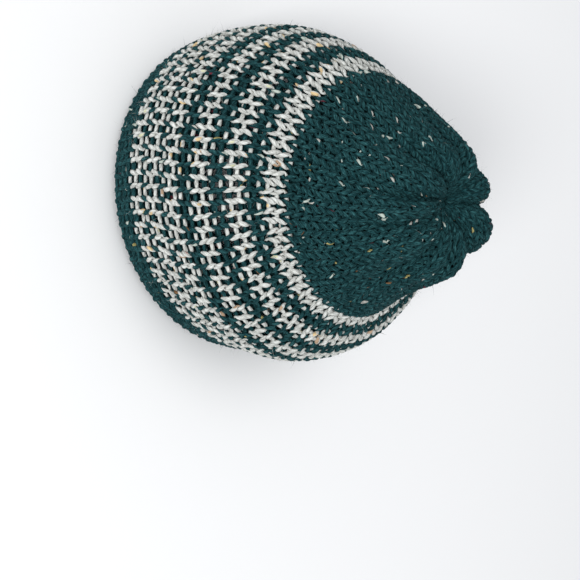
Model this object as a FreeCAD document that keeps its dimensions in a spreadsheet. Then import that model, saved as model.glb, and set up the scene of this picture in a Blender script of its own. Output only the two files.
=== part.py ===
"""Knit beanie: a doubled stockinette tube with six stripes, gathered shut at the crown.

The hat stands on its brim edge: origin at the centre of the head opening, +Z up through the crown.
One meridian describes the outer surface. It is measured along the fabric in half rounds, and every
knitted piece is a closed ring between two stations of it, at a depth below the outer surface.
"""
import FreeCAD, Part
import Sketcher
import math
import os

DIMENSIONS = {
    "round_pitch": 4.5,         # height of one knitted round along the fabric
    "widest_radius": 91.3,      # outer surface at its widest
    "widest_height": 34.0,
    "body_arc": 190.0,          # meridian radius of the nearly straight sides
    "side_length": 54.0,        # fabric from the brim edge to the shoulder
    "shoulder_arc": 57.0,
    "shoulder_slope": 53.5,     # steepest lean of the fabric, degrees from upright
    "hollow_arc": 32.0,         # the fabric lifts again above the shoulder
    "crown_slope": 31.5,
    "crown_length": 50.0,       # straight flank of the soft crown
    "rim_arc": 14.0,            # rounded rim of the gathered top
    "dimple_slope": 125.0,
    "outer_layer": 4.0,         # thickness of the outer layer
    "lining_top_face": 6.4,     # depth of the lining's outer face
    "lining_bottom_face": 9.4,  # depth of the lining's inner face
    "crown_lean": 13.0,         # rest droop of the crown towards +X, degrees
    "lean_height": 55.0,        # height of the axis it droops about
    "body_gap": 0.3,            # clearance between the flexing rounds and the crown top
    "fold_shoulder": 0.7,       # height at which the brim fold starts to round under
    "fold_flat_out": 2.5,       # depth of the outer edge of the flat the hat rests on
    "fold_flat_in": 6.5,
    "hole_radius": 3.6,         # what is left open at the gathered lining
    "lining_close_height": 131.0,
    "gather_ring": 3.2,         # drawn-up loop of gather yarn
    "gather_yarn": 1.0,         # its yarn radius
    "gather_height": 143.1,
    "lining_gather_height": 129.5,
    "knot_radius": 3.0,
    "lining_knot_radius": 2.6,
    "tail_yarn": 0.7,           # radius of the yarn ends between the layers
    "tail_depth": 5.2,
    "tail_sweep": 34.0,         # angle that each woven-in end covers
}

# Knitted pieces of the outer layer, from the brim up, in half rounds of fabric.
FOLD_HALVES = 1
BRIM_HALVES = 8
STRIPE_HALVES = 4
BAND_HALVES = [2, 2, 4, 4, 4]
CROWN_LOWER_HALVES = 2
FLEX_HALVES = 16
LAST_STATION = 87
LINING_TURN_STATION = 74

doc = FreeCAD.newDocument("knit_beanie")
dims = doc.addObject("Spreadsheet::Sheet", "dims")
stations = doc.addObject("Spreadsheet::Sheet", "stations")


def fill_sheet(sheet, values):
    """Write one plain number per row and give its cell an alias."""
    for row, (alias, value) in enumerate(values.items(), start=1):
        cell = "B%d" % row
        sheet.set("A%d" % row, alias)
        sheet.set(cell, "%.6g" % value)
        sheet.setAlias(cell, alias)


fill_sheet(dims, DIMENSIONS)
doc.recompute()


def arc_step(start, radius, slope_end):
    """Follow an arc from (radius, height, slope) until it leans by slope_end degrees."""
    first = math.radians(start[2])
    last = math.radians(slope_end)
    return (start[0] + radius * (math.cos(last) - math.cos(first)),
            start[1] + radius * (math.sin(last) - math.sin(first)),
            slope_end)


def line_step(start, length):
    """Follow the fabric straight on for a length."""
    slope = math.radians(start[2])
    return (start[0] - length * math.sin(slope), start[1] + length * math.cos(slope), start[2])


def meridian(length):
    """Radius, height and slope (degrees from upright) at a length of fabric above the brim edge."""
    low_slope = -math.degrees(math.asin(dims.widest_height / dims.body_arc))
    edge_radius = dims.widest_radius - dims.body_arc * (1 - math.cos(math.radians(low_slope)))
    point = (edge_radius, 0.0, low_slope)
    pieces = [
        (dims.body_arc, low_slope + math.degrees(dims.side_length / dims.body_arc)),
        (dims.shoulder_arc, dims.shoulder_slope),
        (-dims.hollow_arc, dims.crown_slope),
        (None, dims.crown_length),
        (dims.rim_arc, dims.dimple_slope),
    ]
    left = length
    for radius, target in pieces:
        if radius is None:
            span = target
        else:
            span = radius * math.radians(target - point[2])
        used = min(left, span)
        if radius is None:
            point = line_step(point, used)
        else:
            point = arc_step(point, radius, point[2] + math.degrees(used / radius))
        left -= used
        if left <= 0:
            return point
    return line_step(point, left)


def station_cells():
    """Radius, height and slope of every half round."""
    cells = {}
    for index in range(LAST_STATION + 1):
        radius, height, slope = meridian(index * dims.round_pitch / 2)
        cells["radius_%d" % index] = radius
        cells["height_%d" % index] = height
        cells["slope_%d" % index] = slope
    return cells


fill_sheet(stations, station_cells())
doc.recompute()
parts = {}


def at_station(index, depth):
    """Expressions for the point at a depth below the outer surface at a station."""
    radius = "stations.radius_%d - %s * cos(stations.slope_%d)" % (index, depth, index)
    height = "stations.height_%d - %s * sin(stations.slope_%d)" % (index, depth, index)
    return radius, height


def outline_between(first, last, top_face, bottom_face, step=2):
    """Closed outline of a layer between two stations, up its outer face and back down its inner one."""
    indices = list(range(first, last, step)) + [last]
    outer = [at_station(index, top_face) for index in indices]
    inner = [at_station(index, bottom_face) for index in reversed(indices)]
    return outer + inner


def revolved_body(name, outline):
    """A PartDesign body: the outline, bound point by point to the sheets, turned about Z."""
    body = doc.addObject("PartDesign::Body", name)
    body.Label = name
    sketch = body.newObject("Sketcher::SketchObject", name + "_outline")
    plane = [item for item in body.Origin.OriginFeatures if item.Role == "XZ_Plane"][0]
    sketch.AttachmentSupport = [(plane, "")]
    sketch.MapMode = "FlatFace"
    doc.recompute()
    corners = [FreeCAD.Vector(sketch.evalExpression(radius), sketch.evalExpression(height), 0)
               for radius, height in outline]
    count = len(corners)
    for index in range(count):
        sketch.addGeometry(Part.LineSegment(corners[index], corners[(index + 1) % count]), False)
    for index in range(count):
        sketch.addConstraint(Sketcher.Constraint("Coincident", index, 2, (index + 1) % count, 1))
    for index, (radius, height) in enumerate(outline):
        across = sketch.addConstraint(Sketcher.Constraint("DistanceX", -1, 1, index, 1, corners[index].x))
        sketch.setExpression("Constraints[%d]" % across, radius)
        if height == "0":
            sketch.addConstraint(Sketcher.Constraint("PointOnObject", index, 1, -1))
        else:
            up = sketch.addConstraint(Sketcher.Constraint("DistanceY", -1, 1, index, 1, corners[index].y))
            sketch.setExpression("Constraints[%d]" % up, height)
    turn = body.newObject("PartDesign::Revolution", name + "_turn")
    turn.Profile = sketch
    turn.ReferenceAxis = (sketch, ["V_Axis"])
    turn.Angle = 360.0
    sketch.Visibility = False
    parts[name] = body
    return body


def turn_about(item, axis, angle):
    """Bind an object's rotation to an angle about the X or Y axis."""
    item.setExpression("Placement.Rotation.Axis.z", "0")
    item.setExpression("Placement.Rotation.Axis." + axis, "1")
    item.setExpression("Placement.Rotation.Angle", angle)


def lean_with_crown(item):
    """Tip an object of the soft crown about its lean axis, which runs along Y."""
    turn_about(item, "y", "dims.crown_lean")
    item.setExpression("Placement.Base.x", "-dims.lean_height * sin(dims.crown_lean)")
    item.setExpression("Placement.Base.z", "dims.lean_height * (1 - cos(dims.crown_lean))")


def outer_piece(name, first, halves):
    """One knitted piece of the outer layer; returns the station where the next one starts."""
    revolved_body(name, outline_between(first, first + halves, "0", "dims.outer_layer"))
    return first + halves


def brim_fold():
    """The turning round at the brim: both layers joined, with a flat underside to stand on."""
    corners = [
        at_station(FOLD_HALVES, "0"),
        ("stations.radius_0", "dims.fold_shoulder"),
        ("stations.radius_0 - dims.fold_flat_out", "0"),
        ("stations.radius_0 - dims.fold_flat_in", "0"),
        ("stations.radius_0 - dims.lining_bottom_face", "dims.fold_shoulder"),
        at_station(FOLD_HALVES, "dims.lining_bottom_face"),
    ]
    revolved_body("brim_fold", corners)


def outer_layer():
    """Brim, stripes and bands; returns the stations where stripes start and where the flex zone starts."""
    station = outer_piece("brim_band", FOLD_HALVES, BRIM_HALVES)
    stripe_starts = []
    for number in range(1, len(BAND_HALVES) + 2):
        stripe_starts.append(station)
        station = outer_piece("cream_stripe_%d" % number, station, STRIPE_HALVES)
        if number <= len(BAND_HALVES):
            station = outer_piece("teal_band_%d" % number, station, BAND_HALVES[number - 1])
    station = outer_piece("crown_lower", station, CROWN_LOWER_HALVES)
    return stripe_starts, station


def crown_top(first):
    """Gathered top of the outer layer: the flank, the rounded rim and the dimple."""
    body = revolved_body("crown_top", outline_between(first, LAST_STATION, "0", "dims.outer_layer"))
    lean_with_crown(body)


def lining(flex_start, flex_end):
    """Inner layer: rings from the fold up to the flex zone, and the gathered top beyond it."""
    faces = ("dims.lining_top_face", "dims.lining_bottom_face")
    names = ["lining_brim", "lining_side", "lining_shoulder"]
    bounds = [FOLD_HALVES + (flex_start - FOLD_HALVES) * step // len(names) for step in range(len(names) + 1)]
    for name, low, high in zip(names, bounds, bounds[1:]):
        revolved_body(name, outline_between(low, high, *faces))
    climb = list(range(flex_end, LINING_TURN_STATION, 3)) + [LINING_TURN_STATION]
    thickness = "(dims.lining_bottom_face - dims.lining_top_face)"
    outline = [at_station(index, faces[0]) for index in climb]
    outline.append(("dims.hole_radius", "dims.lining_close_height"))
    outline.append(("dims.hole_radius", "dims.lining_close_height - " + thickness))
    outline += [at_station(index, faces[1]) for index in reversed(climb)]
    lean_with_crown(revolved_body("lining_top", outline))


def ring_edge(index, depth, leaning):
    """Circle round the hat at a station, leaning with the crown or upright with the body."""
    radius, height = [dims.evalExpression(text) for text in at_station(index, depth)]
    circle = Part.makeCircle(radius, FreeCAD.Vector(0, 0, height))
    if leaning:
        pivot = FreeCAD.Vector(0, 0, dims.lean_height)
        circle.translate(FreeCAD.Vector(0, 0, -dims.body_gap))
        circle.rotate(pivot, FreeCAD.Vector(0, 1, 0), dims.crown_lean)
    return circle


def flex_piece(name, first, last, top_face, bottom_face):
    """Rounds in the bending zone: a ring whose upper edges lean and whose lower edges stand upright."""
    corners = [(first, top_face, False), (last, top_face, True), (last, bottom_face, True), (first, bottom_face, False)]
    edges = [ring_edge(*corner) for corner in corners]
    sides = [Part.makeRuledSurface(edges[index], edges[(index + 1) % 4]) for index in range(4)]
    shell = Part.makeShell(sides)
    shell.sewShape()
    solid = Part.makeSolid(shell)
    if solid.Volume < 0:
        solid.reverse()
    piece = doc.addObject("Part::Feature", name)
    piece.Label = name
    piece.Shape = solid
    parts[name] = piece


def gather_loop(name, height):
    """Ring of yarn that draws the last round together."""
    ring = doc.addObject("Part::Torus", name)
    ring.Label = name
    ring.setExpression("Radius1", "dims.gather_ring - dims.gather_yarn")
    ring.setExpression("Radius2", "dims.gather_yarn")
    lean_with_crown(ring)
    raised = "(%s - dims.lean_height)" % height
    ring.setExpression("Placement.Base.x", raised + " * sin(dims.crown_lean)")
    ring.setExpression("Placement.Base.z", "dims.lean_height + %s * cos(dims.crown_lean)" % raised)
    parts[name] = ring


def knot(name, ring_height, radius):
    """Round knot tied just under a gather loop."""
    ball = doc.addObject("Part::Sphere", name)
    ball.Label = name
    ball.setExpression("Radius", radius)
    drop = "(%s - dims.gather_yarn - %s - dims.lean_height)" % (ring_height, radius)
    ball.setExpression("Placement.Base.x", drop + " * sin(dims.crown_lean)")
    ball.setExpression("Placement.Base.z", "dims.lean_height + %s * cos(dims.crown_lean)" % drop)
    parts[name] = ball


def yarn_end(name, index, turn):
    """One cut end woven in along a colour change, between the layers; turn is +1 or -1 about Z."""
    end = doc.addObject("Part::Torus", name)
    radius, height = at_station(index, "dims.tail_depth")
    end.setExpression("Radius1", radius)
    end.setExpression("Radius2", "dims.tail_yarn")
    end.setExpression("Angle3", "dims.tail_sweep")
    end.setExpression("Placement.Rotation.Angle", "90 + (%d) * dims.tail_sweep" % (0 if turn > 0 else -1))
    end.setExpression("Placement.Base.z", height)
    return end


def float_yarn(name, first, last):
    """Teal yarn carried straight up behind a stripe at the back of the hat."""
    rod = doc.addObject("Part::Cylinder", name)
    low = at_station(first, "dims.tail_depth")
    high = at_station(last, "dims.tail_depth")
    clear = "(2 * dims.tail_yarn + dims.body_gap)"
    rise = "(%s - (%s))" % (high[1], low[1])
    inward = "(%s - (%s))" % (low[0], high[0])
    rod.setExpression("Radius", "dims.tail_yarn")
    rod.setExpression("Height", "sqrt(%s ^ 2 + %s ^ 2) - 2 * %s" % (rise, inward, clear))
    turn_about(rod, "x", "atan(%s / %s)" % (inward, rise))
    rod.setExpression("Placement.Base.y", "%s - %s * sin(atan(%s / %s))" % (low[0], clear, inward, rise))
    rod.setExpression("Placement.Base.z", "%s + %s * cos(atan(%s / %s))" % (low[1], clear, inward, rise))
    return rod


def group_of(name, members):
    """Separate solids that share one node."""
    compound = doc.addObject("Part::Compound", name)
    compound.Label = name
    compound.Links = members
    parts[name] = compound


def yarns_between_layers(stripe_starts):
    """Two cut cream ends and one carried teal strand for each stripe."""
    ends = []
    floats = []
    for number, start in enumerate(stripe_starts, start=1):
        top = start + STRIPE_HALVES
        ends.append(yarn_end("cream_end_%d_first" % number, start, 1))
        ends.append(yarn_end("cream_end_%d_last" % number, top, -1))
        floats.append(float_yarn("teal_float_%d" % number, start, top))
    group_of("cream_yarn_ends", ends)
    group_of("teal_carried_yarn", floats)


def check_and_export():
    """Refuse to write anything unless every object and every part is sound."""
    doc.recompute()
    for item in doc.Objects:
        if "Invalid" in item.State or "Error" in item.State:
            raise RuntimeError("%s is %s" % (item.Name, item.State))
    for name, item in parts.items():
        shape = item.Shape
        if shape.isNull() or not shape.isValid() or not shape.Solids:
            raise RuntimeError("%s has no valid solid" % name)
    os.makedirs("parts", exist_ok=True)
    for name, item in parts.items():
        item.Shape.exportStep("parts/%s.step" % name)
        box = item.Shape.BoundBox
        print("%-20s solids %2d  volume %9.0f mm3  z %6.1f to %6.1f  widest %6.1f"
              % (name, len(item.Shape.Solids), item.Shape.Volume, box.ZMin, box.ZMax, box.XLength))


brim_fold()
starts, flex_from = outer_layer()
flex_to = flex_from + FLEX_HALVES
crown_top(flex_to)
lining(flex_from, flex_to)
flex_piece("crown_flex", flex_from, flex_to, "0", "dims.outer_layer")
flex_piece("lining_flex", flex_from, flex_to, "dims.lining_top_face", "dims.lining_bottom_face")
gather_loop("gather_yarn", "dims.gather_height")
knot("crown_knot", "dims.gather_height", "dims.knot_radius")
gather_loop("lining_gather_yarn", "dims.lining_gather_height")
knot("lining_knot", "dims.lining_gather_height", "dims.lining_knot_radius")
yarns_between_layers(starts)
check_and_export()
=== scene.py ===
"""Knit beanie, stitch by stitch: every round of knitting is one looped strand of tweed yarn.

The fabric is followed along one line, the thread of the knitting: from the gathered lining down inside the
hat, round the fold at the brim and up the outside to the gathered crown. A place in the fabric has a
fraction, the share of a turn round the hat in equal lengths of fabric, a length along that line, and a
depth, its height above the middle of the layer. Its turn is its angle round the hat. Its owner is the
length of the outer fabric from the brim edge up to the spot that it is on, or behind.
"""
import math

import bpy
import numpy as np
from mathutils import Matrix, Vector


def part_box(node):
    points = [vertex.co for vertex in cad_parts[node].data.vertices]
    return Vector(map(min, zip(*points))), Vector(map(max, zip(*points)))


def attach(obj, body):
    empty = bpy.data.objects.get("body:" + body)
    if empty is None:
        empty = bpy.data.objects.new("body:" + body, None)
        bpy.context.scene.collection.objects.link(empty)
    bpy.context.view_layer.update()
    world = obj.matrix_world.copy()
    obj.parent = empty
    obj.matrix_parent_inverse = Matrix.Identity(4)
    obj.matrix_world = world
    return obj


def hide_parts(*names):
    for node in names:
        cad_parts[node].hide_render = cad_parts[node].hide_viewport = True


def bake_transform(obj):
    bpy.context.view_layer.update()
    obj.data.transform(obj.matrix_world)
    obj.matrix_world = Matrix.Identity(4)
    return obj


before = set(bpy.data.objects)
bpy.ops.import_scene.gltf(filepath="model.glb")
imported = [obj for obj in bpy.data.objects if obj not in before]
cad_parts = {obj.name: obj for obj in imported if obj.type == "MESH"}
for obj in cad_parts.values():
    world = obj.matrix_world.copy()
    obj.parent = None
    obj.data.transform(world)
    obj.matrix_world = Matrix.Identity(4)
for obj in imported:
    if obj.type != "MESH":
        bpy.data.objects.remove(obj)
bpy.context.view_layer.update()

MM = 0.001
TURN = 2 * math.pi
rng = np.random.default_rng(360)

# Driving dimensions, the same as the frame's, and where the outer fabric ends in its gather.
ROUND_PITCH = 4.5 * MM
WIDEST_RADIUS = 91.3 * MM
WIDEST_HEIGHT = 34.0 * MM
BODY_ARC = 190.0 * MM
SIDE_LENGTH = 54.0 * MM
SHOULDER_ARC = 57.0 * MM
SHOULDER_SLOPE = math.radians(53.5)
HOLLOW_ARC = 32.0 * MM
CROWN_SLOPE = math.radians(31.5)
CROWN_LENGTH = 50.0 * MM
RIM_ARC = 14.0 * MM
DIMPLE_SLOPE = math.radians(125.0)
CROWN_LEAN = math.radians(13.0)
LEAN_HEIGHT = 55.0 * MM
FABRIC_END = 200.25 * MM

# Where things sit along the outer fabric, counted in rounds above the brim edge.
FOLD_ROUNDS = 1.5
BRIM_ROUNDS = 3
FIRST_STRIPE = FOLD_ROUNDS + BRIM_ROUNDS
STRIPE_ROUNDS = 2
BAND_ROUNDS = [1, 1, 2, 2, 2]
FLEX_FROM = 25.5
FLEX_ROUNDS = 8
FLEX_TO = FLEX_FROM + FLEX_ROUNDS
LINING_PARTS = [
    ("lining_brim", FOLD_ROUNDS, 9),
    ("lining_side", 9, 17),
    ("lining_shoulder", 17, FLEX_FROM),
]
LINING_TURN = 37

# The two layers: how deep the middle of each lies, the owner at which the fold takes over from both, where
# the lining's gather is (radius and height), and the place along the line where its knitting starts. The
# lining is turned by a share of a wale, which grows between two owners.
OUTER_MIDDLE = 2.0 * MM
LINING_MIDDLE = 7.2 * MM
FOLD_FROM = 4.8 * MM
LINING_GATHER = np.array([4.2, 129.5]) * MM
LINING_START = 1.5 * MM
LINING_SHIFT = 0.5
LINING_SHIFT_FROM = 8 * MM
LINING_SHIFT_TO = 35 * MM
LINE_STEP = 0.25 * MM

# The yarn: its radii, the length of one twist of its plies, how far the plies stand out, as a share of the
# radius, and how flat it lies.
YARN_RADIUS = 1.03 * MM
BRIM_YARN_RADIUS = 1.36 * MM
LINING_YARN_RADIUS = 1.5 * MM
TWIST = 14.0 * MM
PLIES = 3
PLY_BULGE = 0.05
FLATTEN = 0.82

# The stitches: how many round the hat, how far a loop reaches up and down in rounds, how far it goes to the
# front and back, which is less at the brim, and how far its front is lifted in rounds.
WALES = 44
LOOP_REACH = 0.87
LOOP_DEPTH = 0.66 * MM
BRIM_DEPTH_SHARE = 0.38
LEG_LIFT = 0.07

# A quarter of a loop, from the middle of its head to the middle of a leg: how far up, how far to the front,
# and how thick the yarn is.
LOOP_KEYS = np.array([
    (1.00, -1.15, 1.08),
    (0.96, -0.98, 0.84),
    (0.68, -0.30, 0.62),
    (0.36, 0.82, 0.98),
    (0.00, 1.00, 1.16),
])

# How far from the middle of its head a loop turns into its leg, in wales, and how stitches change where the
# wales draw together: from none at the wide wale to all of it at the narrow one.
LOOP_CORNER = 0.315
TIGHT_CORNER = 0.1
TIGHT_DEPTH_LOSS = 0.2
WIDE_WALE = 11.5 * MM
NARROW_WALE = 7.0 * MM

# The yarn's radius is at most this share of a wale, but never under this share of its full size.
WALE_FILL = 0.36
SLIMMEST = 0.66

# The yarn's UVs: a unit is this long, and each strand starts at random within this many units.
UV_LENGTH = 10 * MM
UV_STARTS = 40

# Stray fibres: how many, their shortest and longest length in mm, half their width, the points along each,
# and the lowest that they reach.
HAIRS_PER_STITCH = 6
HAIR_LENGTH = (1.5, 4.5)
HAIR_WIDTH = 0.055 * MM
HAIR_POINTS = 4
HAIR_FLOOR = 0.3 * MM

# Yarns between the layers: how deep they lie below the outer surface, their radius and how much they wave,
# the angles from the back at which a cut end starts and stops, and how far the carried yarn keeps from the
# edges of its stripe.
TAIL_DEPTH = 5.2 * MM
TAIL_YARN = 0.7 * MM
TAIL_WAVE = 0.35 * MM
TAIL_START = 0.0005
TAIL_SWEEP = math.radians(34.0)
CARRIED_MARGIN = 1.7 * MM

# The gathering yarns, the radii of their rings, and their knots: the size, how far the outer one hangs
# below the gather, and the path's scale and the yarn's radius as shares of the size.
GATHER_YARN = 1.0 * MM
GATHER_RING = 2.0 * MM
LINING_GATHER_RING = 2.2 * MM
KNOT_SIZE = 3.0 * MM
KNOT_DROP = 1.6 * MM
LINING_KNOT_SIZE = 2.6 * MM
KNOT_PATH = 0.21
KNOT_YARN = 0.34

# Where the soft fabric bulges: the angle, the owner, how far out, and its reach both ways.
BULGES = [
    (math.radians(78), 170 * MM, 6.0 * MM, 0.5, 18 * MM),
    (math.radians(-22), 126 * MM, 5.0 * MM, 0.55, 20 * MM),
    (math.radians(168), 155 * MM, 2.5 * MM, 0.45, 16 * MM),
    (math.radians(188), 108 * MM, 2.0 * MM, 0.55, 22 * MM),
]

# Soft waves of the fabric: the size, the waves in a turn, how fast they run on with the owner, and the
# angle that they start from. They grow to their full height between two owners.
WAVES = [(0.9, 3, 40, 0.4), (0.7, 5, -55, 2.0), (0.6, 2, 90, 4.1), (0.4, 9, 70, 0.0)]
WAVE_HEIGHT = 0.6 * MM
WAVES_FROM = 6 * MM
WAVES_TO = 26 * MM

# The soft crown: folds that the gathering yarn draws in, at these angles round the hat and this deep. The
# last angle is the first, one turn on. The folds deepen between two owners, to at most a share of the
# radius there, and the lobes between them rise by a share of the depth. The first power makes lobes round
# and valleys sharp, and the second makes the folds deepen late.
VALLEYS = np.radians([-105, -80, -34, 3, 38, 95, 142, 175, 215, 255])
VALLEY_DEPTH = np.array([1.0, 0.85, 0.9, 0.7, 0.9, 1.0, 0.8, 0.65, 0.85, 1.0])
FOLD_DEPTH = 12.5 * MM
FOLDS_FROM = 112 * MM
FOLDS_TO = 182 * MM
DEEPEST_FOLD = 0.58
LOBE_RISE = 0.16
LOBE_POWER = 0.7
GROWTH_POWER = 1.3

# How the fabric sags to the +X side, leans with the crown and is drawn to its gather, between these owners.
SIDE_SAG = 6.1 * MM
SAG_FROM = 12 * MM
SAG_TO = 150 * MM
LEAN_FROM = 75 * MM
LEAN_TO = FLEX_TO * ROUND_PITCH
GATHER_SHIFT = np.array([-3.5, 5.0, 2.5]) * MM
SHIFT_FROM = 158 * MM
SHIFT_TO = 192 * MM


# Shape of the fabric -----------------------------------------------------------------------------------

def meridian(length):
    """Radius, height and slope of the outer surface at a length of fabric above the brim edge."""
    slope = -math.asin(WIDEST_HEIGHT / BODY_ARC)
    radius = WIDEST_RADIUS - BODY_ARC * (1 - math.cos(slope))
    height = 0.0
    runs = [
        (BODY_ARC, slope + SIDE_LENGTH / BODY_ARC),
        (SHOULDER_ARC, SHOULDER_SLOPE),
        (-HOLLOW_ARC, CROWN_SLOPE),
        (None, CROWN_LENGTH),
        (RIM_ARC, DIMPLE_SLOPE),
        (None, 1.0),
    ]
    for arc, target in runs:
        span = target if arc is None else arc * (target - slope)
        used = min(length, span)
        if arc is None:
            radius -= used * math.sin(slope)
            height += used * math.cos(slope)
        else:
            last = slope + used / arc
            radius += arc * (math.cos(last) - math.cos(slope))
            height += arc * (math.sin(last) - math.sin(slope))
            slope = last
        length -= used
        if length <= 0:
            break
    return radius, height, slope


def layer_points(lengths, depth):
    """Points (radius, height) of a layer at a depth below the outer surface."""
    rows = [meridian(length) for length in lengths]
    return np.array([(r - depth * math.cos(a), h - depth * math.sin(a)) for r, h, a in rows])


def fabric_line():
    """The line of the knitting: length along it, points, owners, and where its cap and its fold are."""
    inner_owners = np.arange(LINING_TURN * ROUND_PITCH, FOLD_FROM, -LINE_STEP)
    inner = layer_points(inner_owners, LINING_MIDDLE)
    cap_points = 89
    share = np.linspace(0, 1, cap_points + 1)[:-1, None]
    cap = LINING_GATHER + (inner[0] - LINING_GATHER) * share

    # The corner between the cap and the lining is rounded by a moving average.
    rounded = 80
    reach = 16
    padded = np.concatenate([np.repeat(cap[:1], reach, 0), cap, inner[:rounded + reach]])
    kernel = np.ones(2 * reach + 1) / (2 * reach + 1)
    corner = np.stack([np.convolve(padded[:, axis], kernel, "valid") for axis in range(2)], 1)
    corner[0] = LINING_GATHER

    outer_owners = np.arange(FOLD_FROM, FABRIC_END, LINE_STEP)
    outer = layer_points(outer_owners, OUTER_MIDDLE)
    middle = (inner[-1] + outer[0]) / 2
    across = outer[0] - middle
    down = np.array([across[1], -across[0]])
    fold_points = 40
    angle = np.linspace(0, math.pi, fold_points + 2)[1:-1, None]
    fold = middle - np.cos(angle) * across + np.sin(angle) * down

    points = np.concatenate([corner, inner[rounded:], fold, outer])
    owners = np.concatenate([
        np.full(cap_points, FABRIC_END), inner_owners, np.full(fold_points, FOLD_FROM), outer_owners])
    along = np.concatenate([[0], np.cumsum(np.hypot(*np.diff(points, axis=0).T))])
    fold_start = cap_points + len(inner)
    return along, points, owners, cap_points, fold_start, fold_start + fold_points


def line_normals():
    """Normal of the line at each of its points, which points away from the other layer."""
    tangent = np.gradient(LINE_POINTS, LINE, axis=0)
    tangent /= np.linalg.norm(tangent, axis=1)[:, None]
    return np.stack([tangent[:, 1], -tangent[:, 0]], 1)


LINE, LINE_POINTS, LINE_OWNER, CAP_END, FOLD_START, FOLD_END = fabric_line()
LINE_NORMAL = line_normals()


def outer_at(length):
    """Place along the line of a length of outer fabric above the brim edge."""
    return float(np.interp(length, LINE_OWNER[FOLD_END:], LINE[FOLD_END:]))


def lining_at(length):
    """The same for the lining."""
    owners = LINE_OWNER[CAP_END:FOLD_START][::-1]
    return float(np.interp(length, owners, LINE[CAP_END:FOLD_START][::-1]))


def ease(value, start, end):
    """Smooth step from 0 at start to 1 at end."""
    part = np.clip((value - start) / (end - start), 0, 1)
    return part * part * (3 - 2 * part)


def fold_shape(turn):
    """Round lobes and sharp valleys round the gathered crown: 0 on a lobe, up to 1 in a deep valley."""
    wrapped = (turn - VALLEYS[0]) % TURN + VALLEYS[0]
    phase = np.interp(wrapped, VALLEYS, np.arange(len(VALLEYS)))
    return np.interp(wrapped, VALLEYS, VALLEY_DEPTH) * (1 - np.abs(np.sin(math.pi * phase)) ** LOBE_POWER)


def fold_depth(owner, radius):
    """How deep the folds are: they start on the flank and deepen to the gather, within the radius there."""
    growing = FOLD_DEPTH * ease(owner, FOLDS_FROM, FOLDS_TO) ** GROWTH_POWER
    return np.minimum(growing, DEEPEST_FOLD * radius)


def bulging(turn, owner):
    """How far the fabric bulges out where the crown sags."""
    push = 0.0
    for angle, length, height, width, reach in BULGES:
        aside = (turn - angle + math.pi) % TURN - math.pi
        push = push + height * np.exp(-(aside / width) ** 2 - ((owner - length) / reach) ** 2)
    return push


def unevenness(turn, owner):
    """Soft waves of the fabric, a millimetre or so, that start above the brim."""
    wave = sum(size * np.sin(waves * turn + drift * owner + phase) for size, waves, drift, phase in WAVES)
    return wave * ease(owner, WAVES_FROM, WAVES_TO) * WAVE_HEIGHT


def sheet_point(turn, along):
    """Point on the middle of the layer, with its waves, folds, sag and lean."""
    radius = np.interp(along, LINE, LINE_POINTS[:, 0])
    height = np.interp(along, LINE, LINE_POINTS[:, 1])
    normal_r = np.interp(along, LINE, LINE_NORMAL[:, 0])
    normal_z = np.interp(along, LINE, LINE_NORMAL[:, 1])
    owner = np.interp(along, LINE, LINE_OWNER)
    outward = np.where(along >= LINE[FOLD_END], 1, -1)
    folds = fold_depth(owner, radius) * (LOBE_RISE - fold_shape(turn))
    push = unevenness(turn, owner) + bulging(turn, owner) + folds
    radius = radius + push * outward * normal_r
    height = height + push * outward * normal_z
    x = radius * np.cos(turn)
    y = radius * np.sin(turn)
    lean = CROWN_LEAN * ease(owner, LEAN_FROM, LEAN_TO)
    raised = height - LEAN_HEIGHT
    sag = SIDE_SAG * np.sin(math.pi * np.clip((owner - SAG_FROM) / (SAG_TO - SAG_FROM), 0, 1)) ** 2
    placed = np.stack([
        x * np.cos(lean) + raised * np.sin(lean) + sag, y,
        LEAN_HEIGHT + raised * np.cos(lean) - x * np.sin(lean)], -1)
    return placed + ease(owner, SHIFT_FROM, SHIFT_TO)[..., None] * GATHER_SHIFT


def spread_wales():
    """Turn of each fraction of a round, for equal lengths of fabric, on a grid along the line."""
    row_step = 1.5 * MM
    rows = np.arange(0, LINE[-1] + 2 * MM, row_step)
    turns = np.linspace(0, TURN, 1441)
    table = np.empty((len(rows), len(turns)))
    for index, along in enumerate(rows):
        points = sheet_point(turns, np.full(len(turns), min(along, LINE[-1])))
        length = np.concatenate([[0], np.cumsum(np.linalg.norm(np.diff(points, axis=0), axis=1))])
        table[index] = np.interp(turns / TURN, length / length[-1], turns)
    return row_step, table


WALE_STEP, WALE_TABLE = spread_wales()


def turn_of(fraction, along):
    """Angle round the hat of a fraction of the round (any number of turns) at a place along the line."""
    rows, columns = WALE_TABLE.shape
    whole = np.floor(fraction)
    column = (fraction - whole) * (columns - 1)
    row = np.clip(along / WALE_STEP, 0, rows - 1.001)
    low_row = row.astype(int)
    low_column = np.minimum(column.astype(int), columns - 2)
    fy = row - low_row
    fx = column - low_column
    near = WALE_TABLE[low_row, low_column] * (1 - fx) + WALE_TABLE[low_row, low_column + 1] * fx
    far = WALE_TABLE[low_row + 1, low_column] * (1 - fx) + WALE_TABLE[low_row + 1, low_column + 1] * fx
    return whole * TURN + near * (1 - fy) + far * fy


def fabric(fraction, along, depth):
    """Point at a depth above the middle of the layer, and the normal there, away from the other layer."""
    nudge = 0.2 * MM
    centre = sheet_point(turn_of(fraction, along), along)
    beside = sheet_point(turn_of(fraction + 0.001, along), along)
    ahead = sheet_point(turn_of(fraction, along + nudge), along + nudge)
    normal = np.cross(beside - centre, ahead - centre)
    normal /= np.maximum(np.linalg.norm(normal, axis=-1, keepdims=True), 1e-12)
    return centre + normal * depth[..., None], normal


# Stitches ----------------------------------------------------------------------------------------------

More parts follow.
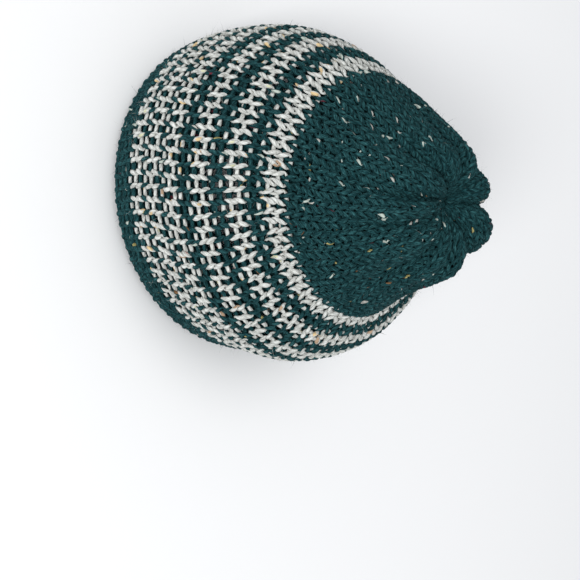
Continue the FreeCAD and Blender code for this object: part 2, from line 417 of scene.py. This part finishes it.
def stitch_noise(count, size):
    """Random numbers, count of them round the hat, read smoothly along the round."""
    values = rng.normal(0, size, count)

    def read(fraction):
        place = (fraction % 1.0) * count
        low = np.floor(place).astype(int)
        part = ease(place - low, 0, 1)
        return values[low % count] * (1 - part) + values[(low + 1) % count] * part
    return read


def loop_points(corner):
    """Keys of a whole loop with its corners this far out: how far across, up, to the front, how thick."""
    lean = 2 * corner - 0.5
    across = [0.0, 0.6 * corner, corner, 0.25 + 0.33 * lean, 0.25]
    quarter = np.column_stack([across, LOOP_KEYS])
    second = quarter[3::-1].copy()
    second[:, 0] = 0.5 - second[:, 0]
    second[:, 1] *= -1
    half = np.concatenate([quarter, second])
    other = half[-2:0:-1].copy()
    other[:, 0] = 1 - other[:, 0]
    return np.concatenate([half, other])


def along_loop(place, corner):
    """The same four measures at places counted in stitches, on a smooth curve through every loop's keys."""
    keys = loop_points(corner)
    count = len(keys)
    spot = place * count
    first = np.floor(spot).astype(int)
    part = (spot - first)[:, None]
    near = []
    for offset in (-1, 0, 1, 2):
        index = first + offset
        row = keys[index % count].copy()
        row[:, 0] += index // count
        near.append(row)
    before, low, high, after = near
    square = (2 * before - 5 * low + 4 * high - after) * part ** 2
    cube = (3 * low - before - 3 * high + after) * part ** 3
    return 0.5 * (2 * low + (high - before) * part + square + cube)


def wale_shift(along):
    """The lining lies turned by half a stitch, so that its legs fill the gaps of the outer layer."""
    if along > LINE[FOLD_START]:
        return 0.0
    owner = np.interp(along, LINE, LINE_OWNER)
    return LINING_SHIFT * float(ease(owner, LINING_SHIFT_FROM, LINING_SHIFT_TO))


def knitted_round(along, pitch, radius, samples, sides):
    """One round of loops: rings of points along a closed strand, and the length of yarn up to each ring."""
    place = np.arange(WALES * samples) / samples
    ring = sheet_point(np.linspace(0, TURN, 361), np.full(361, along))
    wale = np.linalg.norm(np.diff(ring, axis=0), axis=1).sum() / WALES
    tight = float(ease(wale, WIDE_WALE, NARROW_WALE))
    across, up, front, girth = along_loop(place, LOOP_CORNER + TIGHT_CORNER * tight).T
    sideways = stitch_noise(WALES, 0.03)
    upward = stitch_noise(WALES, 0.05)
    taller = stitch_noise(2 * WALES, 0.05)
    thickness = stitch_noise(3 * WALES, 0.07)
    lift = stitch_noise(2 * WALES, 0.12)
    share = place / WALES
    fraction = (across + wale_shift(along) + sideways(share)) / WALES
    raised = LOOP_REACH * (1 + taller(share)) * up + LEG_LIFT * front + upward(share)
    reached = np.clip(along + pitch * raised, 0, LINE[-1])
    flat = BRIM_DEPTH_SHARE if radius == BRIM_YARN_RADIUS else 1 - TIGHT_DEPTH_LOSS * tight
    centre, normal = fabric(fraction, reached, LOOP_DEPTH * flat * (front + lift(share)))
    slim = max(min(1.0, WALE_FILL * wale / radius), SLIMMEST)
    thick = slim * radius * girth * (1 + thickness(share))
    return tube(centre, normal, thick, sides)


def tube(centre, normal, thick, sides, closed=True):
    """Rings of points round a line of yarn, in three soft plies, and the length up to each ring."""
    if closed:
        padded = np.concatenate([centre[-1:], centre, centre[:1]])
    else:
        padded = np.concatenate([2 * centre[:1] - centre[1:2], centre, 2 * centre[-1:] - centre[-2:-1]])
    tangent = padded[2:] - padded[:-2]
    tangent /= np.linalg.norm(tangent, axis=1, keepdims=True)
    side = np.cross(tangent, normal)
    side /= np.linalg.norm(side, axis=1, keepdims=True)
    top = np.cross(side, tangent)
    steps = np.linalg.norm(padded[2:] - padded[1:-1], axis=1)
    length = np.concatenate([[0], np.cumsum(steps)])
    twist = TURN * length[:-1] / TWIST
    around = np.arange(sides) / sides * TURN
    lobes = 1 + PLY_BULGE * np.cos(PLIES * (around[None] - twist[:, None]))
    ring_radius = thick[:, None] * lobes
    upward = FLATTEN * np.cos(around)[None, :, None] * top[:, None]
    sideways = np.sin(around)[None, :, None] * side[:, None]
    return centre[:, None] + ring_radius[..., None] * (upward + sideways), length


def strand_faces(count, sides, closed=True):
    """Faces of a tube of count rings, and the ring and side of each face corner for its UVs."""
    ring, side = np.meshgrid(np.arange(count if closed else count - 1), np.arange(sides), indexing="ij")
    around_face = np.array([[0, 0], [1, 0], [1, 1], [0, 1]])
    corners = np.stack([ring.ravel(), side.ravel()], 1)[:, None] + around_face
    return (corners[..., 0] % count) * sides + corners[..., 1] % sides, corners


def yarn_uv(length, corners, sides, start):
    """Length of yarn and share of the way round it, at each face corner."""
    ring = corners[..., 0].astype(int)
    return np.stack([length[ring] / UV_LENGTH + start, corners[..., 1] / sides], -1)


def tile_layout(rounds, samples, sides, corners, number):
    """Place of each face corner in the square bake: one strip for each round, cut into short stretches."""
    rows_per_round = 4
    strip = 0.92
    stretch = WALES * samples / rows_per_round
    row = np.floor(corners[:, :1, 0] / stretch)
    x = (corners[..., 0] - row * stretch) / stretch
    y = number * rows_per_round + row + strip * corners[..., 1] / sides + (1 - strip) / 2
    return np.stack([np.clip(x, 0, 1) * 0.998 + 0.001, y / (rounds * rows_per_round)], -1)


def stray_fibres(points):
    """Thin ribbons that stand off a strand: their points, faces, and the ring and side at each corner."""
    rings, sides = points.shape[:2]
    count = WALES * HAIRS_PER_STITCH
    ring = rng.integers(0, rings - 1, count)
    front_sides = 3
    side = rng.integers(-front_sides, front_sides + 1, count) % sides
    root = points[ring, side]
    outward = root - points[ring].mean(1)
    outward /= np.linalg.norm(outward, axis=1, keepdims=True)
    onward = points[ring + 1, side] - root
    onward /= np.linalg.norm(onward, axis=1, keepdims=True)
    across = np.cross(outward, onward)
    heading = onward * rng.choice([-1, 1], (count, 1)) + outward * rng.uniform(0.05, 0.6, (count, 1))
    heading += across * rng.normal(0, 0.5, (count, 1))
    curl = across * rng.normal(0, 0.6, (count, 1)) - outward * rng.uniform(0, 0.45, (count, 1))
    reach = rng.uniform(*HAIR_LENGTH, (count, 1, 1)) * MM
    share = np.linspace(0, 1, HAIR_POINTS)[None, :, None]
    line = root[:, None] + reach * (heading[:, None] * share + curl[:, None] * share ** 2)
    line[..., 2] = np.maximum(line[..., 2], HAIR_FLOOR)
    width = HAIR_WIDTH * (1.15 - share) * np.cross(heading, outward)[:, None]
    ribbon = np.stack([line - width, line + width], 2)

    index = np.arange(count * HAIR_POINTS * 2).reshape(count, HAIR_POINTS, 2)
    lower = index[:, :-1]
    upper = index[:, 1:]
    faces = np.stack([lower[..., 0], lower[..., 1], upper[..., 1], upper[..., 0]], -1).reshape(-1, 4)
    beside_root = np.array([[0, 0], [0, 0.3], [1, 0.3], [1, 0]])
    corners = np.repeat(np.stack([ring, side], -1), HAIR_POINTS - 1, 0)[:, None] + beside_root
    return ribbon, faces, corners


class Blocks:
    """Points, faces and UVs of one piece, gathered strand by strand."""

    def __init__(self):
        self.points = []
        self.faces = []
        self.uvs = {"yarn": [], "OFBake": []}
        self.count = 0

    def add(self, points, faces, yarn, bake):
        """Add a strand whose faces count its own points from 0."""
        self.points.append(points.reshape(-1, 3))
        self.faces.append(faces + self.count)
        self.uvs["yarn"].append(yarn)
        self.uvs["OFBake"].append(bake)
        self.count += len(self.points[-1])

    def build(self, name, body, slot, nodes):
        """Make a quad mesh quickly from the arrays, give it its material and tie it to the frame."""
        faces = np.concatenate(self.faces)
        mesh = bpy.data.meshes.new(name)
        mesh.vertices.add(self.count)
        mesh.vertices.foreach_set("co", np.concatenate(self.points).astype(np.float32).ravel())
        mesh.loops.add(faces.size)
        mesh.loops.foreach_set("vertex_index", faces.astype(np.int32).ravel())
        mesh.polygons.add(len(faces))
        mesh.polygons.foreach_set("loop_start", np.arange(0, faces.size, 4, dtype=np.int32))
        mesh.update(calc_edges=True)
        for layer, blocks in self.uvs.items():
            uv = mesh.uv_layers.new(name=layer)
            uv.data.foreach_set("uv", np.concatenate(blocks).astype(np.float32).ravel())
        mesh.validate()
        mesh.shade_smooth()
        piece = bpy.data.objects.new(name, mesh)
        bpy.context.scene.collection.objects.link(piece)
        mesh.materials.append(MATERIALS[slot])
        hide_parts(*nodes)
        if body is not None:
            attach(piece, body)
        return piece


def knit(name, places, pitch, body, slot, nodes, radius=YARN_RADIUS, samples=28, sides=10):
    """A piece of knitting: one strand for each place along the line. The lining has no stray fibres."""
    blocks = Blocks()
    for number, along in enumerate(places):
        points, length = knitted_round(along, pitch, radius, samples, sides)
        start = rng.uniform(0, UV_STARTS)
        parts = [(points, *strand_faces(len(points), sides))]
        if radius != LINING_YARN_RADIUS:
            parts.append(stray_fibres(points))
        for made, faces, corners in parts:
            blocks.add(made, faces, yarn_uv(length, corners, sides, start),
                       tile_layout(len(places), samples, sides, corners, number))
    return blocks.build(name, body, slot, nodes)


# Materials ---------------------------------------------------------------------------------------------

def new_material(name):
    """A material with nodes, and its shader."""
    material = bpy.data.materials.new(name)
    material.use_nodes = True
    return material, material.node_tree.nodes["Principled BSDF"]


class Graph:
    """Short calls for building a node tree."""

    def __init__(self, material):
        self.tree = material.node_tree

    def node(self, kind, **settings):
        """A new node with these settings."""
        made = self.tree.nodes.new(kind)
        for key, value in settings.items():
            setattr(made, key, value)
        return made

    def link(self, source, target):
        """Join two sockets."""
        self.tree.links.new(source, target)

    def feed(self, socket, value):
        """Set a socket to a number or a colour, or link it."""
        if isinstance(value, (int, float)):
            socket.default_value = value
        elif isinstance(value, tuple):
            socket.default_value = (*value, 1.0)
        elif value is not None:
            self.link(value, socket)

    def math(self, operation, first, second=None, clamp=False):
        """A sum or another operation on one or two values."""
        made = self.node("ShaderNodeMath", operation=operation, use_clamp=clamp)
        self.feed(made.inputs[0], first)
        self.feed(made.inputs[1], second)
        return made.outputs[0]

    def weighted(self, first, first_weight, second, second_weight):
        """Two values added up, each times its weight."""
        return self.math("ADD", self.math("MULTIPLY", first, first_weight),
                         self.math("MULTIPLY", second, second_weight))

    def place(self, first, first_scale, second, second_scale):
        """A point in a pattern: two measures, each times its scale."""
        point = self.node("ShaderNodeCombineXYZ")
        self.link(self.math("MULTIPLY", first, first_scale), point.inputs[0])
        self.link(self.math("MULTIPLY", second, second_scale), point.inputs[1])
        return point.outputs[0]

    def noise(self, place, scale, detail, roughness):
        """Noise at a point."""
        made = self.node("ShaderNodeTexNoise")
        made.inputs["Scale"].default_value = scale
        made.inputs["Detail"].default_value = detail
        made.inputs["Roughness"].default_value = roughness
        self.link(place, made.inputs["Vector"])
        return made.outputs[0]

    def mix(self, factor, first, second, blend="MIX"):
        """Two colours mixed."""
        made = self.node("ShaderNodeMix", data_type="RGBA", blend_type=blend)
        self.feed(made.inputs[0], factor)
        self.feed(made.inputs[6], first)
        self.feed(made.inputs[7], second)
        return made.outputs[2]

    def ramp(self, source, stops, interpolation="LINEAR"):
        """A value turned into a colour."""
        made = self.node("ShaderNodeValToRGB")
        made.color_ramp.interpolation = interpolation
        elements = made.color_ramp.elements
        while len(elements) < len(stops):
            elements.new(1.0)
        for element, (position, colour) in zip(elements, stops):
            element.position = position
            element.color = (*colour, 1.0)
        self.link(source, made.inputs[0])
        return made.outputs[0]


def yarn_material(name, deep, base, light, flecks, fleck_share, sheen, groove_shade):
    """Plied tweed yarn: twisted plies, fibres along them, mottled dye and nubs of other colours."""
    material, shader = new_material(name)
    graph = Graph(material)
    uv = graph.node("ShaderNodeUVMap", uv_map="yarn")
    parts = graph.node("ShaderNodeSeparateXYZ")
    graph.link(uv.outputs[0], parts.inputs[0])
    length = parts.outputs[0]
    around = parts.outputs[1]

    # Plies wind round the strand, one turn in each TWIST.
    winding = graph.math("SUBTRACT", graph.math("MULTIPLY", around, float(PLIES)),
                         graph.math("MULTIPLY", length, PLIES * UV_LENGTH / TWIST))
    ply = graph.math("ABSOLUTE", graph.math("SINE", graph.math("MULTIPLY", winding, math.pi)))
    ply_round = graph.math("POWER", ply, 0.6)

    # Fibres lie along the plies, some of them pale, some deep in colour, and the dye is mottled.
    fibre = graph.noise(graph.place(length, 2.4, winding, 4.5), 1.5, 2.5, 0.6)
    mottle = graph.noise(graph.place(length, 1.6, around, 1.5), 1.6, 4.0, 0.65)
    tone = graph.weighted(mottle, 0.35, fibre, 0.65)
    colour = graph.ramp(tone, [(0.37, deep), (0.49, base), (0.63, light)])

    # Nubs: cells along the yarn, few of them coloured, with ragged edges.
    cells = graph.node("ShaderNodeTexVoronoi", voronoi_dimensions="2D", feature="F1")
    cells.inputs["Scale"].default_value = 1.0
    graph.link(graph.place(length, 2.2, around, 1.6), cells.inputs["Vector"])
    dice = graph.node("ShaderNodeSeparateColor")
    graph.link(cells.outputs["Color"], dice.inputs[0])
    chosen = graph.math("GREATER_THAN", dice.outputs[0], 1.0 - fleck_share)
    ragged = graph.math("ADD", cells.outputs["Distance"], graph.math("MULTIPLY", fibre, 0.35))
    nub = graph.math("MULTIPLY", chosen, graph.math("LESS_THAN", ragged, 0.62))
    stops = [(number / len(flecks), fleck) for number, fleck in enumerate(flecks)]
    fleck_colour = graph.ramp(dice.outputs[1], stops, "CONSTANT")
    colour = graph.mix(graph.math("MULTIPLY", nub, 0.88), colour, fleck_colour)

    # Grooves between the plies are darker, because less light reaches them.
    shade = graph.math("ADD", groove_shade, graph.math("MULTIPLY", ply_round, 1 - groove_shade), clamp=True)
    grey = graph.node("ShaderNodeCombineColor")
    for socket in grey.inputs[:3]:
        graph.link(shade, socket)
    colour = graph.mix(1.0, colour, grey.outputs[0], "MULTIPLY")
    graph.link(colour, shader.inputs["Base Color"])

    rough = graph.math("ADD", 0.78, graph.math("MULTIPLY", fibre, 0.2), clamp=True)
    graph.link(rough, shader.inputs["Roughness"])
    shader.inputs["Specular IOR Level"].default_value = 0.12
    shader.inputs["Sheen Weight"].default_value = sheen
    shader.inputs["Sheen Roughness"].default_value = 0.5
    shader.inputs["Sheen Tint"].default_value = (*light, 1.0)

    relief = graph.weighted(ply_round, 0.75, fibre, 0.35)
    relief = graph.math("ADD", relief, graph.math("MULTIPLY", nub, 0.35))
    bump = graph.node("ShaderNodeBump")
    bump.inputs["Strength"].default_value = 0.85
    bump.inputs["Distance"].default_value = 0.35 * MM
    graph.link(relief, bump.inputs["Height"])
    graph.link(bump.outputs[0], shader.inputs["Normal"])
    return material


TEAL = "teal_tweed_yarn"
CREAM = "cream_tweed_yarn"
MATERIALS = {
    TEAL: yarn_material(
        TEAL, deep=(0.0006, 0.010, 0.012), base=(0.0034, 0.033, 0.038), light=(0.040, 0.135, 0.142),
        flecks=[(0.50, 0.56, 0.50), (0.42, 0.36, 0.14), (0.28, 0.15, 0.07), (0.20, 0.03, 0.05),
                (0.45, 0.44, 0.40)],
        fleck_share=0.022, sheen=0.05, groove_shade=0.5),
    CREAM: yarn_material(
        CREAM, deep=(0.25, 0.25, 0.22), base=(0.53, 0.54, 0.51), light=(0.77, 0.79, 0.765),
        flecks=[(0.66, 0.48, 0.24), (0.42, 0.27, 0.16), (0.60, 0.38, 0.33), (0.58, 0.58, 0.38)],
        fleck_share=0.03, sheen=0.06, groove_shade=0.75),
}


# Knitted pieces ----------------------------------------------------------------------------------------

def rounds_between(low, high, count):
    """Middle places of count equal rounds between two places along the line, and their pitch."""
    pitch = (high - low) / count
    return [low + (number + 0.5) * pitch for number in range(count)], abs(pitch)


def stripes():
    """Each stripe's number, the round that it starts at, and how many teal rounds follow it."""
    low = FIRST_STRIPE
    for number, band in enumerate(BAND_ROUNDS + [0], start=1):
        yield number, low, band
        low += STRIPE_ROUNDS + band


def outer_knit(name, low, count, body, slot, nodes, **detail):
    """A piece of the outer layer that starts low rounds above the brim edge."""
    high = low + count
    places, pitch = rounds_between(outer_at(low * ROUND_PITCH), outer_at(high * ROUND_PITCH), count)
    return knit(name, places, pitch, body, slot, nodes, **detail)


def make_outer_layer():
    """Brim, stripes, bands and crown of the outer layer. Returns the flexing rounds."""
    outer_knit("brim_knit", FOLD_ROUNDS, BRIM_ROUNDS, "hat_body", TEAL, ["brim_band"],
               radius=BRIM_YARN_RADIUS)
    for number, low, band in stripes():
        outer_knit("cream_stripe_%d_knit" % number, low, STRIPE_ROUNDS, "hat_body", CREAM,
                   ["cream_stripe_%d" % number])
        if band:
            outer_knit("teal_band_%d_knit" % number, low + STRIPE_ROUNDS, band, "hat_body", TEAL,
                       ["teal_band_%d" % number])
    outer_knit("crown_lower_knit", FLEX_FROM - 1, 1, "hat_body", TEAL, ["crown_lower"])
    flex = outer_knit("crown_flex_knit", FLEX_FROM, FLEX_ROUNDS, None, TEAL, ["crown_flex"],
                      samples=22, sides=9)
    count = round(FABRIC_END / ROUND_PITCH - FLEX_TO)
    places, pitch = rounds_between(outer_at(FLEX_TO * ROUND_PITCH), outer_at(FABRIC_END), count)
    knit("crown_top_knit", places, pitch, "crown", TEAL, ["crown_top"], samples=22, sides=8)
    return flex


def make_fold():
    """Three rounds that turn from the outer layer to the lining."""
    low = lining_at(FOLD_ROUNDS * ROUND_PITCH)
    high = outer_at(FOLD_ROUNDS * ROUND_PITCH)
    places, pitch = rounds_between(low, high, 3)
    knit("brim_fold_knit", places, pitch, "hat_body", TEAL, ["brim_fold"], radius=BRIM_YARN_RADIUS)


def lining_knit(name, low, high, count, body):
    """A piece of the lining between two places along the line."""
    places, pitch = rounds_between(low, high, count)
    return knit(name + "_knit", places, pitch, body, TEAL, [name],
                radius=LINING_YARN_RADIUS, samples=18, sides=7)


def make_lining():
    """Inner layer, seen through the head opening and the open stitches. Returns its flexing rounds."""
    for name, low, high in LINING_PARTS:
        lining_knit(name, lining_at(high * ROUND_PITCH), lining_at(low * ROUND_PITCH), round(high - low),
                    "hat_body")
    top = lining_at(FLEX_TO * ROUND_PITCH)
    flex = lining_knit("lining_flex", top, lining_at(FLEX_FROM * ROUND_PITCH), FLEX_ROUNDS, None)
    lining_knit("lining_top", LINING_START, top, round((top - LINING_START) / ROUND_PITCH), "crown")
    return flex


# Loose yarns -------------------------------------------------------------------------------------------

def yarn_pieces(name, lines, radius, closed, body, slot, node):
    """Plain lengths of yarn: each line is its points and the direction its top faces."""
    sides = 10
    blocks = Blocks()
    for number, (centre, normal) in enumerate(lines):
        count = len(centre)
        thick = np.full(count, radius)
        if not closed:
            to_end = np.minimum(np.arange(count), np.arange(count)[::-1])
            thick *= np.clip(to_end / 4, 0.08, 1)
        points, length = tube(centre, normal, thick, sides, closed)
        faces, corners = strand_faces(count, sides, closed)
        start = rng.uniform(0, UV_STARTS)
        row = (number + 0.04 + 0.92 * corners[..., 1] / sides) / len(lines)
        bake = np.stack([corners[..., 0] / count, row], -1)
        blocks.add(points, faces, yarn_uv(length, corners, sides, start), bake)
    blocks.build(name, body, slot, [node])


def leaned(points):
    """Turn points about the origin as the crown is turned."""
    x, y, z = points.T
    return np.stack([x * math.cos(CROWN_LEAN) + z * math.sin(CROWN_LEAN), y,
                     z * math.cos(CROWN_LEAN) - x * math.sin(CROWN_LEAN)], 1)


def make_gathering(name, node, centre, ring):
    """Loop of yarn that draws the last round of a layer together."""
    angle = np.linspace(0, TURN, 60, endpoint=False)
    wavy = ring * (1 + 0.06 * np.sin(3 * angle + 0.7))
    circle = np.stack([wavy * np.cos(angle), wavy * np.sin(angle), 0.25 * MM * np.sin(2 * angle)], 1)
    upright = leaned(np.tile([0.0, 0.0, 1.0], (len(angle), 1)))
    yarn_pieces(name, [(centre + leaned(circle), upright)], GATHER_YARN, True, "crown", TEAL, node)


def make_knot(name, node, centre, size):
    """Overhand knot of the gathering yarn, pulled tight: a trefoil."""
    angle = np.linspace(0, TURN, 90, endpoint=False)
    x = np.sin(angle) + 2 * np.sin(2 * angle)
    y = np.cos(angle) - 2 * np.cos(2 * angle)
    z = -1.7 * np.sin(3 * angle)
    line = np.stack([x, y, z], 1) * KNOT_PATH * size
    outward = line / np.linalg.norm(line, axis=1, keepdims=True)
    lines = [(centre + leaned(line), leaned(outward))]
    yarn_pieces(name, lines, KNOT_YARN * size, True, "crown", TEAL, node)


def middle_of(node):
    """Middle of a CAD node's box."""
    low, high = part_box(node)
    return (np.array(low) + np.array(high)) / 2


def between_layers(start, end, low, high):
    """A length of yarn between the layers, from one turn and length of fabric to another."""
    share = np.linspace(0, 1, 70)
    fraction = (start + (end - start) * share) / TURN
    places = outer_at(low) + (outer_at(high) - outer_at(low)) * share
    wave = TAIL_WAVE * np.sin(share * 40)
    return fabric(fraction, places + wave, np.full(len(share), OUTER_MIDDLE - TAIL_DEPTH))


def make_yarn_ends():
    """For each stripe two cut cream ends, woven in at the back, and the teal yarn carried up behind it."""
    back = TURN / 4
    ends = []
    carried = []
    for _, start, _ in stripes():
        low = start * ROUND_PITCH
        high = low + STRIPE_ROUNDS * ROUND_PITCH
        ends.append(between_layers(back + TAIL_START, back + TAIL_SWEEP, low, low))
        ends.append(between_layers(back - TAIL_START, back - TAIL_SWEEP, high, high))
        carried.append(between_layers(back, back, low + CARRIED_MARGIN, high - CARRIED_MARGIN))
    yarn_pieces("cream_end_yarns", ends, TAIL_YARN, False, "hat_body", CREAM, "cream_yarn_ends")
    yarn_pieces("teal_carried_yarns", carried, TAIL_YARN, False, "hat_body", TEAL, "teal_carried_yarn")


def make_yarns():
    """The gathering yarns with their knots, and the yarns between the layers."""
    turns = np.linspace(0, TURN, 72, endpoint=False)
    top = sheet_point(turns, np.full(len(turns), LINE[-1])).mean(0)
    drop = leaned(np.array([[0, 0, KNOT_DROP]]))[0]
    make_gathering("gathering_yarn", "gather_yarn", top, GATHER_RING)
    make_knot("gathering_knot", "crown_knot", top - drop, KNOT_SIZE)
    make_gathering("lining_gathering_yarn", "lining_gather_yarn", middle_of("lining_gather_yarn"),
                   LINING_GATHER_RING)
    make_knot("lining_gathering_knot", "lining_knot", middle_of("lining_knot"), LINING_KNOT_SIZE)
    make_yarn_ends()


def bend_with_crown(piece):
    """The flexing rounds are left whole: only their placement is baked into their points."""
    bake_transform(piece)


# Camera, light and floor -------------------------------------------------------------------------------

def plain_material(name, colour, roughness):
    """A matt paint."""
    material, shader = new_material(name)
    shader.inputs["Base Color"].default_value = (*colour, 1.0)
    shader.inputs["Roughness"].default_value = roughness
    shader.inputs["Specular IOR Level"].default_value = 0.1
    return material


def make_floor():
    """A plain pale floor under the brim."""
    half = 6.0
    mesh = bpy.data.meshes.new("floor")
    corners = [(-half, -half, 0), (half, -half, 0), (half, half, 0), (-half, half, 0)]
    mesh.from_pydata(corners, [], [(0, 1, 2, 3)])
    floor = bpy.data.objects.new("floor", mesh)
    bpy.context.scene.collection.objects.link(floor)
    mesh.materials.append(plain_material("floor_paint", (0.9, 0.9, 0.9), 0.9))


def aim(holder, target):
    """Turn a light to face a point."""
    direction = Vector(target) - Vector(holder.location)
    holder.rotation_euler = direction.to_track_quat("-Z", "Y").to_euler()


def area_light(name, place, target, size, power):
    """A round soft light."""
    lamp = bpy.data.lights.new(name, "AREA")
    lamp.shape = "DISK"
    lamp.size = size
    lamp.energy = power
    holder = bpy.data.objects.new(name, lamp)
    holder.location = place
    aim(holder, target)
    bpy.context.scene.collection.objects.link(holder)


def make_lights():
    """Pale light from all sides, a key light from the front and a soft fill from above."""
    world = bpy.data.worlds.new("studio")
    world.use_nodes = True
    background = world.node_tree.nodes["Background"]
    background.inputs[0].default_value = (0.95, 0.97, 1.0, 1.0)
    background.inputs[1].default_value = 0.66
    bpy.context.scene.world = world
    hat = (0, 0, 0.08)
    area_light("key", (0.35, -1.6, 1.05), hat, size=0.55, power=22)
    area_light("fill", (-0.6, -0.4, 2.2), hat, size=1.4, power=9)


def make_camera():
    """Close view from the front and above, turned so that the crown points to the right of the view."""
    lens = bpy.data.cameras.new("camera")
    lens.sensor_width = 36.0
    lens.lens = 59.7
    lens.clip_start = 0.02
    holder = bpy.data.objects.new("camera", lens)
    place = Vector((30.7, -370.7, 420.0)) * MM
    target = Vector((53.7, -32.6, 71.4)) * MM
    up_hint = Vector((-1, 0.086, 0))
    back = (place - target).normalized()
    right = up_hint.cross(back).normalized()
    turned = Matrix((right, back.cross(right), back)).transposed().to_4x4()
    holder.matrix_world = Matrix.Translation(place) @ turned
    bpy.context.scene.collection.objects.link(holder)
    bpy.context.scene.camera = holder


outer_flex = make_outer_layer()
make_fold()
lining_flex = make_lining()
bend_with_crown(outer_flex)
bend_with_crown(lining_flex)
make_yarns()
make_floor()
make_lights()
make_camera()
bpy.context.scene.view_settings.view_transform = "Standard"
